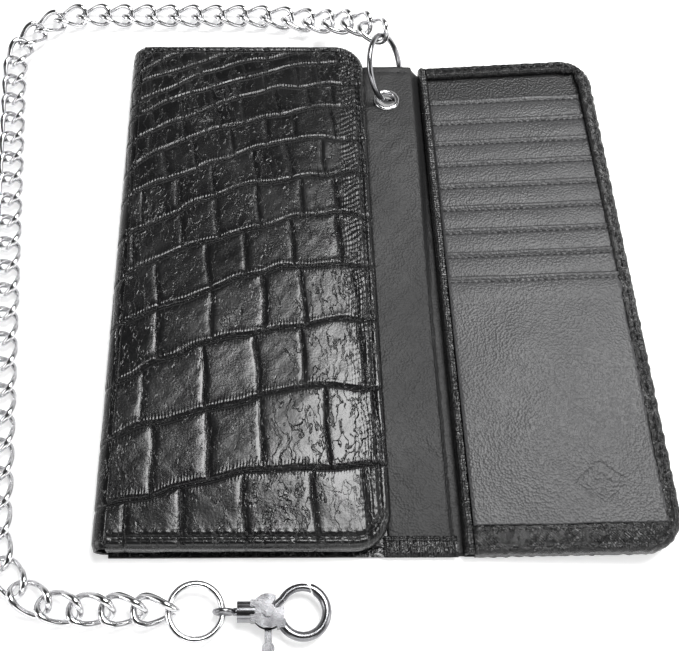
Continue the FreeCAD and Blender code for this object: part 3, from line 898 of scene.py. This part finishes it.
@dataclass
class Strip:
    """The smooth band beside the cover, with its eyelet and the gusset to the wing."""

    finishes: Finishes
    lift: float = 5.05
    ramp: tuple[float, float] = (-10.8, 62.4)
    thickness: float = 0.7
    stitch: Seam = field(default_factory=lambda: Seam(pitch=2.7, length=1.9, radius=0.2))

    def __post_init__(self) -> None:
        """Take sizes from the frame."""
        self.low, self.high = corners_of("strip_lining")
        low, high = corners_of("grommet_eyelet")
        self.eye = Vector(((low.x + high.x) / 2, (low.y + high.y) / 2, high.z))
        self.flange = (high.x - low.x) / 2

    def rise(self, y: Array) -> Array:
        """Lift of the strip over y."""
        share = np.clip((y - self.ramp[0]) / (self.ramp[1] - self.ramp[0]), 0, 1)
        return self.lift * (0.72 * share + 0.28 * share * share * (3 - 2 * share))

    def surface(self, across: Array, along: Array) -> tuple[Array, dict]:
        """The smooth leather."""
        x = self.low.x + across * (self.high.x - self.low.x)
        y = self.low.y + along * (self.high.y - self.low.y)
        level = np.hypot(x - self.eye.x, y - self.eye.y)
        calm = eased(level, self.flange, self.flange + 9)
        z = self.low.z + self.thickness + self.rise(y)
        z += 0.16 * drift(x, y * 0.5, 19, 0.9) * calm + 0.10 * drift(x, y, 8, 2.2) * calm
        z -= 0.35 * bell(self.high.y - y - 2.6, 0.8) + 0.35 * bell(y - self.low.y - 2.6, 0.8)
        z -= 0.30 * (1 - eased(self.high.x - x, 0, 1.2)) + 0.30 * (1 - eased(x - self.low.x, 0, 1.2))
        z -= 0.22 * (1 - calm) * eased(level, self.flange + 2.5, self.flange - 1)
        return np.stack([x, y, z], 1), {}

    def open_eye(self, made: bmesh.types.BMesh) -> None:
        """Cut the eyelet's hole and give the leather its wall."""
        centre = self.eye * MM
        inside = [face for face in made.faces
                  if (face.calc_center_median() - centre).xy.length < (self.flange - 0.9) * MM]
        bmesh.ops.delete(made, geom=inside, context="FACES")
        bmesh.ops.solidify(made, geom=made.faces[:], thickness=self.thickness * 0.9 * MM)
        bmesh.ops.recalc_face_normals(made, faces=made.faces[:])

    def build(self) -> None:
        """Make the strip, its eyelet, its two short seams and the gusset."""
        mesh, _ = grid_sheet(40, 250, self.surface)
        put("strip_leather", reshaped(mesh, self.open_eye)).dress(self.finishes.strip, Slot.SMOOTH) \
            .ride("back_panel", "strip_lining")
        runs = [(self.high.y - 2.6, self.rise(np.array([self.high.y]))[0]), (self.low.y + 2.6, 0.0)]
        for number, (y, rise) in enumerate(runs, start=1):
            x = np.arange(self.low.x + 1.6, self.high.x - 1, self.stitch.pitch)
            points = np.stack([x, np.full(len(x), y)], 1)
            heights = np.full(len(x), self.low.z + self.thickness + rise - 0.18)
            side = np.tile([0.0, 1.0], (len(x), 1))
            self.stitch.sew(f"strip_stitches_{number}", points, heights, side) \
                .dress(self.finishes.thread, Slot.SMOOTH).ride("back_panel")
        self.build_foot()
        self.build_eyelet()
        self.build_gusset()

    def build_foot(self) -> None:
        """Turn the embossed leather over the strip's south end."""
        south, north = self.low.y - 0.3, self.low.y + 6.4
        top = self.low.z + self.thickness + 0.45

        def surface(across: Array, along: Array) -> tuple[Array, dict]:
            """The wrinkled band."""
            x = self.low.x - 1.5 + across * (self.high.x - self.low.x + 3.2)
            y = south + along * (north - south)
            ridge = np.sin(2.1 * x + 1.9 * drift(x, y, 9, 0.2))
            z = top + 0.12 * ridge + 0.10 * drift(x, y, 3.7, 1.0) - 0.35 * bell(north - y - 1.1, 0.5)
            z -= 0.6 * (1 - eased(y - south, 0, 1.6)) + 0.3 * (1 - eased(north - y, 0, 0.5))
            # The groove value marks the troughs of the wrinkles, painted lighter as a highlight.
            values = {"groove_highlight": 0.4 * bell(ridge + 1, 0.5), "pleat": np.full(len(x), 0.6),
                      "pleats": np.stack([x * 0.14, y * 0.03], 1)}
            return np.stack([x, y, z], 1), values

        mesh, _ = grid_sheet(90, 26, surface)
        band = put("strip_foot_binding", thickened(mesh, 0.5))
        band.dress(self.finishes.embossed, Slot.EMBOSSED).ride("back_panel")

    def build_eyelet(self) -> None:
        """Turn the two rolled flanges."""
        low, high = corners_of("grommet_eyelet")
        bore = self.flange - 1.8
        tall = high.z - low.z
        rim = [(bore, 0), (bore, tall - 0.1), (bore + 0.25, tall + 0.28), (bore + 0.7, tall + 0.45),
               (bore + 1.25, tall + 0.36), (self.flange - 0.12, tall + 0.08), (self.flange, tall - 0.25),
               (bore + 0.4, tall - 0.3), (bore + 0.4, 0), (bore, 0)]
        made = bmesh.new()
        lathe(made, rim, Matrix.Translation(Vector((self.eye.x, self.eye.y, low.z)) * MM), 64)
        mesh = bpy.data.meshes.new("eyelet")
        made.to_mesh(mesh)
        made.free()
        put("eyelet", mesh).dress(self.finishes.metal, Slot.HARDWARE).ride("back_panel", "grommet_eyelet")

    def build_gusset(self) -> None:
        """Make the soft leather between the strip and the wing."""
        wing_low, _ = corners_of("wing_shell")
        west, east = self.high.x - 0.1, wing_low.x + 0.7

        def surface(across: Array, along: Array) -> tuple[Array, dict]:
            """A shallow valley."""
            y = self.low.y + 0.3 + along * (self.high.y - self.low.y - 0.6)
            x = west + across * (east - west)
            start = self.low.z + self.rise(y) + 0.25
            z = start + (wing_low.z + 0.75 - start) * across - 0.75 * np.sin(math.pi * across)
            z = np.maximum(z, 0.75) + 0.05 * drift(x * 3, y, 7)
            return np.stack([x, y, z], 1), {}

        mesh, _ = grid_sheet(14, 160, surface)
        piece = put("wing_gusset", thickened(mesh, 0.6)).dress(self.finishes.strip, Slot.SMOOTH)
        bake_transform(piece.obj)
        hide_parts("right_spine")
        log.info("%s bends between the back panel and the wing", piece.obj.name)


# ------------------------------------------------------------------ the wing


@dataclass
class Wing:
    """The card panel, built flat and then tipped to its resting angle."""

    finishes: Finishes
    tilt: float = 4.4
    west: float = 59.5
    width: float = 67.5
    south: float = -102.1
    north: float = 94.6
    spine: float = 3.5
    side: float = 4.5
    foot: float = 8.6
    floor: float = 0.3
    pocket_floor: float = 2.2
    sheet: float = 0.36
    top: float = 5.7
    first_lip: float = 15.4
    lip_pitch: float = 10.4
    pockets: int = 9
    stitch: Seam = field(default_factory=lambda: Seam(pitch=2.6, length=1.85, radius=0.21))
    lip_stitch: Seam = field(default_factory=lambda: Seam(pitch=2.35, length=1.65, radius=0.17, tilt=0.05))

    def __post_init__(self) -> None:
        """Find the seat from the fold's own axis."""
        joint = next(joint for joint in frame["joints"] if joint["name"] == "wing_fold")
        pivot = Vector(joint["pos_m"])
        turn = Matrix.Rotation(math.radians(self.tilt), 4, Vector((0, -1, 0)))
        self.seat = Matrix.Translation(Vector((pivot.x, 0, pivot.z))) @ turn
        self.pivot = pivot / MM
        self.east = self.west + self.width

    def seated(self, places: Array) -> Array:
        """Tip flat places about the wing's pivot."""
        turn = math.radians(self.tilt)
        dx = places[:, 0] - self.pivot.x
        dz = places[:, 2] - self.pivot.z
        return np.stack([self.pivot.x + dx * math.cos(turn) - dz * math.sin(turn), places[:, 1],
                         self.pivot.z + dx * math.sin(turn) + dz * math.cos(turn)], 1)

    def sew(self, name: str, seam: Seam, points: Array, heights: Array, outwards: Array) -> None:
        """Sew in the flat and tip the stitches with the wing."""
        flat = Matrix.Translation(Vector((-self.pivot.x, 0, -self.pivot.z)) * MM)
        stitches = seam.sew(name, points, heights, outwards, self.seat @ flat)
        stitches.dress(self.finishes.thread, Slot.SMOOTH).ride("wing")

    def lip(self, number: int) -> float:
        """Where a pocket's mouth is."""
        return self.north - self.first_lip - number * self.lip_pitch

    def emblem(self, x: Array, y: Array) -> Array:
        """A plain blind-stamped lozenge with a small four-leaved rosette, as a depth."""
        across, along = x - (self.east - 22.5), y - (self.south + 21.5)
        diamond = np.abs(across) / 8.2 + np.abs(along) / 6.6
        outline = bell((diamond - 1) * 5.2, 0.42)
        inner = bell((diamond - 0.78) * 5.2, 0.22)
        turn = np.arctan2(along, across)
        leaf = bell(np.hypot(across, along) - 2.5 * np.abs(np.cos(2 * turn)), 0.30) * (np.hypot(across, along) < 3.4)
        return 0.20 * outline + 0.12 * inner + 0.16 * leaf

    def build_pocket(self, number: int) -> None:
        """Make one card pocket with its rolled mouth and seam."""
        lip = self.lip(number)
        last = number == self.pockets - 1
        foot = self.south + self.foot if last else lip - 2.2 * self.lip_pitch
        west, east = self.west + self.spine - 0.3, self.east - self.side + 0.3
        base = self.pocket_floor + self.sheet * (number + 1)

        def surface(across: Array, along: Array) -> tuple[Array, dict]:
            """The pocket's face, from its mouth down."""
            share = along if last else along ** 1.6
            x = west + across * (east - west)
            down = share * (lip - foot)
            y = lip - down + 0.18 * drift(x, x * 0 + number * 9, 31, number)
            z = base + 0.30 * bell(down - 0.75, 0.75) - 0.34 * np.maximum(0.45 - down, 0)
            pinch = np.sin(2 * math.pi * x / self.lip_stitch.pitch)
            z -= (0.24 + 0.05 * pinch) * bell(down - 2.3, 0.5)
            z += 0.22 * np.sin(math.pi * np.clip((down - 2.8) / (self.lip_pitch - 2.8), 0, 1))
            z += 0.09 * drift(x, y, 27, number * 0.7) * eased(down, 3, 7)
            if last:
                z += 0.55 * eased(down, 4, 30) * (1 - eased(down, 60, 86)) * np.sin(math.pi * across) ** 0.7
                z += 0.16 * drift(x, y, 33, 4.0) * eased(down, 8, 24)
                z -= self.emblem(x, y)
            z = np.where((x - west < 0.5) | (east - x < 0.5), z - 0.2, z)
            return self.seated(np.stack([x, y, z], 1)), {}

        counts = (150, 214) if last else (60, 56)
        mesh, _ = grid_sheet(*counts, surface)
        reshaped(mesh, lambda made: bmesh.ops.reverse_faces(made, faces=made.faces[:]))
        node = f"card_pocket_{number + 1}"
        pocket = put(f"card_pocket_leather_{number + 1}", thickened(mesh, 0.3))
        pocket.dress(self.finishes.card, Slot.SMOOTH).ride("wing", node)
        x = np.arange(west + 1.6, east - 1.2, self.lip_stitch.pitch)
        points = np.stack([x, np.full(len(x), lip - 2.3)], 1)
        heights = np.full(len(x), base - 0.08)
        self.sew(f"pocket_stitches_{number + 1}", self.lip_stitch, points, heights, np.tile([0.0, 1.0], (len(x), 1)))

    def build_binding(self) -> None:
        """Make the turned edge round the three free sides."""
        panel = RolledPanel(self.west + self.spine - 0.4, self.east + 0.2, self.south - 0.2, self.north + 0.2,
                            self.floor - 0.1, self.top - 0.35, corner=12.2, roll=1.9, step=0.7)

        def surface(across: Array, along: Array) -> tuple[Array, dict]:
            """The wrinkled leather of the binding."""
            spot = panel.place(across, along)
            x, y = spot["leather"].T
            edge = spot["edge"]
            height = 0.13 * drift(x * 1.2, y, 5.1, 1.0) + 0.09 * drift(x, y, 2.7, 2.0)
            foot = (y < self.south + self.foot + 3)
            inset = np.where(foot, 2.6, 2.1)
            pinch = np.sin(2 * math.pi * (x + y) / self.stitch.pitch)
            height -= (0.42 + 0.10 * pinch) * bell(edge - inset, 0.6)
            height += 0.15 * np.where(foot, bell(edge - 5.4, 1.8), 0.0)
            ridge = np.sin(1.7 * (x * np.abs(spot["normals"][:, 1]) + y * 0.6) + 1.9 * drift(x, y, 11, 0.2))
            height += 0.10 * ridge
            # The groove value marks the troughs of the wrinkles, painted lighter as a highlight.
            values = {"groove_highlight": 0.5 * bell(ridge + 1, 0.5), "pleat": np.full(len(x), 0.55),
                      "pleats": np.stack([(x + y) * 0.14, (x - y) * 0.03], 1),
                      "inner_x": spot["places"][:, 0], "inner_y": spot["places"][:, 1]}
            return self.seated(spot["places"] + spot["normals"] * height[:, None]), values

        mesh, values = grid_sheet(*panel.counts(), surface)
        low_y, high_y = self.south + self.foot, self.north - self.side
        high_x = self.east - self.side
        inside = (values["inner_x"] < high_x) & (values["inner_y"] > low_y) & (values["inner_y"] < high_y)
        for name in ("inner_x", "inner_y"):
            mesh.attributes.remove(mesh.attributes[name])

        foot = (self.floor - 0.1) * MM
        flat = Matrix.Translation(Vector((-self.pivot.x, 0, -self.pivot.z)) * MM)
        seat = self.seat @ flat

        def work(made: bmesh.types.BMesh) -> None:
            """Open the middle, turn its edge down to the foot and close the underside."""
            made.verts.ensure_lookup_table()
            gone = [face for face in made.faces if all(inside[vert.index] for vert in face.verts)]
            bmesh.ops.delete(made, geom=gone, context="FACES")
            bmesh.ops.transform(made, matrix=seat.inverted(), verts=made.verts)
            rim = [edge for edge in made.edges
                   if edge.is_boundary and max(vert.co.z for vert in edge.verts) > foot + 0.7 * MM]
            turned = bmesh.ops.extrude_edge_only(made, edges=rim)["geom"]
            for vert in [item for item in turned if isinstance(item, bmesh.types.BMVert)]:
                vert.co.z = foot
            bmesh.ops.remove_doubles(made, verts=made.verts[:], dist=1e-6)
            bmesh.ops.holes_fill(made, edges=[edge for edge in made.edges if edge.is_boundary], sides=0)
            bmesh.ops.recalc_face_normals(made, faces=made.faces[:])
            bmesh.ops.transform(made, matrix=seat, verts=made.verts)

        binding = put("wing_edge_binding", reshaped(mesh, work))
        binding.dress(self.finishes.embossed, Slot.EMBOSSED).ride("wing", "wing_binding")
        points, outwards = panel.edge_path(2.2, self.stitch.pitch)
        self.sew("binding_stitches", self.stitch, points, np.full(len(points), panel.top - 0.10), outwards)
        x = np.arange(self.west + self.spine + 1, self.east - self.side, self.stitch.pitch)
        inner = np.stack([x, np.full(len(x), self.south + self.foot - 1.3)], 1)
        across = np.tile([0.0, 1.0], (len(x), 1))
        self.sew("foot_stitches", self.stitch, inner, np.full(len(x), panel.top + 0.12), across)

    def build_spine_binding(self) -> None:
        """Make the narrow bound edge beside the fold."""
        west, east = self.west - 0.1, self.west + self.spine + 0.25

        def surface(across: Array, along: Array) -> tuple[Array, dict]:
            """A rounded band."""
            turn = math.pi * (0.04 + 0.92 * across)
            x = (west + east) / 2 - (east - west) / 2 * np.cos(turn)
            y = self.south + 0.1 + along * (self.north - self.south - 0.2)
            z = self.floor + 1.0 + (self.top - 0.7 - self.floor - 1.0) * np.sin(turn) ** 0.55
            pinch = np.sin(2 * math.pi * y / self.stitch.pitch)
            z -= (0.32 + 0.12 * pinch) * bell(across - 0.55, 0.11)
            z += 0.10 * drift(x, y, 4.3, 1.0) + 0.06 * drift(x, y, 2.3, 3.0)
            # The groove value marks the stitched line, painted lighter as a highlight.
            values = {"groove_highlight": 0.3 * bell(across - 0.55, 0.2), "pleat": np.full(len(x), 0.5),
                      "pleats": np.stack([y * 0.14, x * 0.03], 1)}
            return self.seated(np.stack([x, y, z], 1)), values

        mesh, _ = grid_sheet(14, 300, surface)
        put("wing_spine_binding_leather", thickened(mesh, 0.5)).dress(self.finishes.embossed, Slot.EMBOSSED) \
            .ride("wing", "wing_spine_binding")
        y = np.arange(self.south + 2.5, self.north - 2, self.stitch.pitch)
        points = np.stack([np.full(len(y), west + 0.58 * (east - west)), y], 1)
        across = np.tile([1.0, 0.0], (len(y), 1))
        self.sew("spine_binding_stitches", self.stitch, points, np.full(len(y), self.top - 0.95), across)

    def build(self) -> None:
        """Make every part of the wing that shows."""
        for number in range(self.pockets):
            self.build_pocket(number)
        self.build_binding()
        self.build_spine_binding()


# ---------------------------------------------------------------- hardware


@dataclass
class Chain:
    """The curb chain and its two rings; the hook stays as the frame has it."""

    finishes: Finishes
    length: float = 13.2
    width: float = 8.6
    twist: float = 2.1
    wire: float = 1.15
    groups: int = 9

    def link_mesh(self) -> bpy.types.Mesh:
        """One twisted oval of wire, lying along x."""
        curve = bpy.data.curves.new("link", "CURVE")
        curve.dimensions = "3D"
        curve.bevel_depth = self.wire * MM
        curve.bevel_resolution = 3
        curve.resolution_u = 3
        spline = curve.splines.new("NURBS")
        count = 16
        spline.points.add(count - 1)
        for point, turn in zip(spline.points, np.arange(count) * 2 * math.pi / count):
            place = Vector((self.length / 2 * 1.026 * math.cos(turn), self.width / 2 * 1.026 * math.sin(turn),
                            self.twist * 1.1 * math.sin(2 * turn))) * MM
            point.co = (*place, 1.0)
        spline.use_cyclic_u = True
        spline.order_u = 3
        holder = bpy.data.objects.new("link", curve)
        mesh = bpy.data.meshes.new_from_object(holder)
        bpy.data.objects.remove(holder)
        return mesh

    def places(self, node: str) -> list[Matrix]:
        """Where each link of a node lies."""
        made = bmesh.new()
        made.from_mesh(frame["nodes"][node].data)
        bmesh.ops.remove_doubles(made, verts=made.verts[:], dist=2e-6)
        left = set(made.verts)
        found = []
        while left:
            island, edge = set(), [left.pop()]
            while edge:
                vert = edge.pop()
                island.add(vert)
                for near in (item.other_vert(vert) for item in vert.link_edges):
                    if near in left:
                        left.discard(near)
                        edge.append(near)
            found.append(seated(*best_plane(np.array([vert.co for vert in island]) / MM)))
        made.free()
        return found

    def build_links(self) -> None:
        """Copy the link to every place in each group."""
        link = self.link_mesh()
        for number in range(1, self.groups + 1):
            node = f"chain_links_{number:02d}"
            made = bmesh.new()
            for place in self.places(node):
                before = len(made.verts)
                made.from_mesh(link)
                made.verts.ensure_lookup_table()
                bmesh.ops.transform(made, matrix=place, verts=made.verts[before:])
            bmesh.ops.recalc_face_normals(made, faces=made.faces[:])
            mesh = bpy.data.meshes.new(node)
            made.to_mesh(mesh)
            made.free()
            links = put(f"curb_links_{number:02d}", mesh)
            links.dress(self.finishes.metal, Slot.HARDWARE).ride(f"chain_{number:02d}", node)

    def build_rings(self) -> None:
        """Make the wallet ring and the end ring smooth."""
        rings = (("wallet_ring", "ring", self.finishes.dark_metal),
                 ("end_ring", "end_ring_body", self.finishes.metal))
        for node, body, finish in rings:
            middle, axes = best_plane(node_points(node))
            local = (node_points(node) - np.array(middle)) @ np.array(axes)
            outer = np.hypot(local[:, 0], local[:, 1]).max()
            wire = np.abs(local[:, 2]).max()
            made = bmesh.new()
            ring_of_wire(made, outer - wire, wire, seated(middle, axes), 128)
            mesh = bpy.data.meshes.new(node)
            made.to_mesh(mesh)
            made.free()
            put(f"{node}_wire", mesh).dress(finish, Slot.HARDWARE).ride(body, node)

    def build(self) -> None:
        """Make every metal piece that is not taken from the frame as it is."""
        self.build_links()
        self.build_rings()


# ------------------------------------------------------------------- studio


@dataclass
class Studio:
    """Floor, light and camera."""

    finishes: Finishes
    target: tuple = (0.002086, -0.015944, 0.0)
    elevation: float = 62.984
    azimuth: float = -1.227
    roll: float = 1.034
    distance: float = 0.32187
    lens: float = 47.65
    shift: tuple = (0.0903, -0.0166)
    horizon: float = 0.9
    zenith: float = 0.05

    def build_floor(self) -> None:
        """Lay a wide pale sheet."""
        made = bmesh.new()
        bmesh.ops.create_grid(made, x_segments=2, y_segments=2, size=3.0)
        bmesh.ops.transform(made, matrix=Matrix.Translation((0, 0, -0.0004)), verts=made.verts)
        mesh = bpy.data.meshes.new("floor")
        made.to_mesh(mesh)
        made.free()
        floor = put("floor", mesh).obj
        floor.data.materials.append(self.finishes.backdrop)

    def build_lights(self) -> None:
        """Hang the softboxes and set the room's own light."""
        boxes = [("key", (0.28, 0.26, 0.92), (0.40, 0.56), 12.0), ("right", (1.35, -0.30, 0.60), (0.5, 1.2), 5.0),
                 ("left", (-1.35, -0.30, 0.60), (0.5, 1.2), 5.0), ("front", (0.0, -1.35, 0.70), (1.4, 0.5), 5.0)]
        for name, place, size, power in boxes:
            light = bpy.data.lights.new(name, "AREA")
            light.shape = "RECTANGLE"
            light.size, light.size_y = size
            light.energy = power
            holder = bpy.data.objects.new(name, light)
            holder.location = place
            holder.rotation_euler = (-Vector(place)).to_track_quat("-Z", "Y").to_euler()
            bpy.context.scene.collection.objects.link(holder)
        world = bpy.data.worlds.new("room")
        world.use_nodes = True
        tree = world.node_tree
        aim = tree.nodes.new("ShaderNodeTexCoord")
        split = tree.nodes.new("ShaderNodeSeparateXYZ")
        fade = tree.nodes.new("ShaderNodeMapRange")
        for key, value in {"From Min": 0.25, "From Max": 0.60, "To Min": self.horizon, "To Max": self.zenith}.items():
            fade.inputs[key].default_value = value
        tree.links.new(aim.outputs["Generated"], split.inputs[0])
        tree.links.new(split.outputs["Z"], fade.inputs["Value"])
        tree.links.new(fade.outputs[0], tree.nodes["Background"].inputs[1])
        tree.nodes["Background"].inputs[0].default_value = (1, 1, 1, 1)
        bpy.context.scene.world = world
        bpy.context.scene.view_settings.view_transform = "Standard"

    def build_camera(self) -> None:
        """Stand the camera over the front edge, looking down."""
        up, side, roll = (math.radians(angle) for angle in (self.elevation, self.azimuth, self.roll))
        back = Vector((math.sin(side) * math.cos(up), -math.cos(side) * math.cos(up), math.sin(up)))
        right = (-back).cross(Vector((0, 0, 1))).normalized()
        above = right.cross(-back)
        turned_right = right * math.cos(roll) + above * math.sin(roll)
        turned_above = above * math.cos(roll) - right * math.sin(roll)
        seat = Matrix((turned_right, turned_above, back)).transposed().to_4x4()
        seat.translation = Vector(self.target) + back * self.distance
        camera = bpy.data.cameras.new("camera")
        camera.sensor_width = 36.0
        camera.lens = self.lens
        camera.shift_x, camera.shift_y = self.shift
        camera.clip_start = 0.01
        holder = bpy.data.objects.new("camera", camera)
        holder.matrix_world = seat
        bpy.context.scene.collection.objects.link(holder)
        bpy.context.scene.camera = holder

    def build(self) -> None:
        """Set the studio up."""
        self.build_floor()
        self.build_lights()
        self.build_camera()


def dress_frame(finishes: Finishes) -> None:
    """Give every part that is shown as it is a proper material."""
    smooth = ("bill_pocket_panel", "cover_pocket_panel", "wing_backing", "strip", "card_pocket")
    chosen = {"lining": finishes.lining, "rfid": finishes.film, "padding": finishes.lining}
    for name, node in frame["nodes"].items():
        material = finishes.cast_metal
        if name.startswith(smooth):
            material = finishes.smooth
        elif any(word in name for word in chosen):
            material = next(chosen[word] for word in chosen if word in name)
        elif "shell" in name or "spine" in name or "binding" in name:
            material = finishes.pressed
        node.data.materials.clear()
        node.data.materials.append(material)
        for slot in node.material_slots:
            slot.material = material


def main() -> None:
    """Build the studio and then each sub-assembly in order."""
    logging.basicConfig(level=logging.INFO, format="%(name)s: %(message)s")
    finishes = Finishes()
    Studio(finishes).build()
    dress_frame(finishes)
    for part in (Cover(finishes), Fold(finishes), Strip(finishes), Wing(finishes), Chain(finishes)):
        part.build()
        log.info("%s is built", type(part).__name__)


if __name__ == "__main__":
    main()
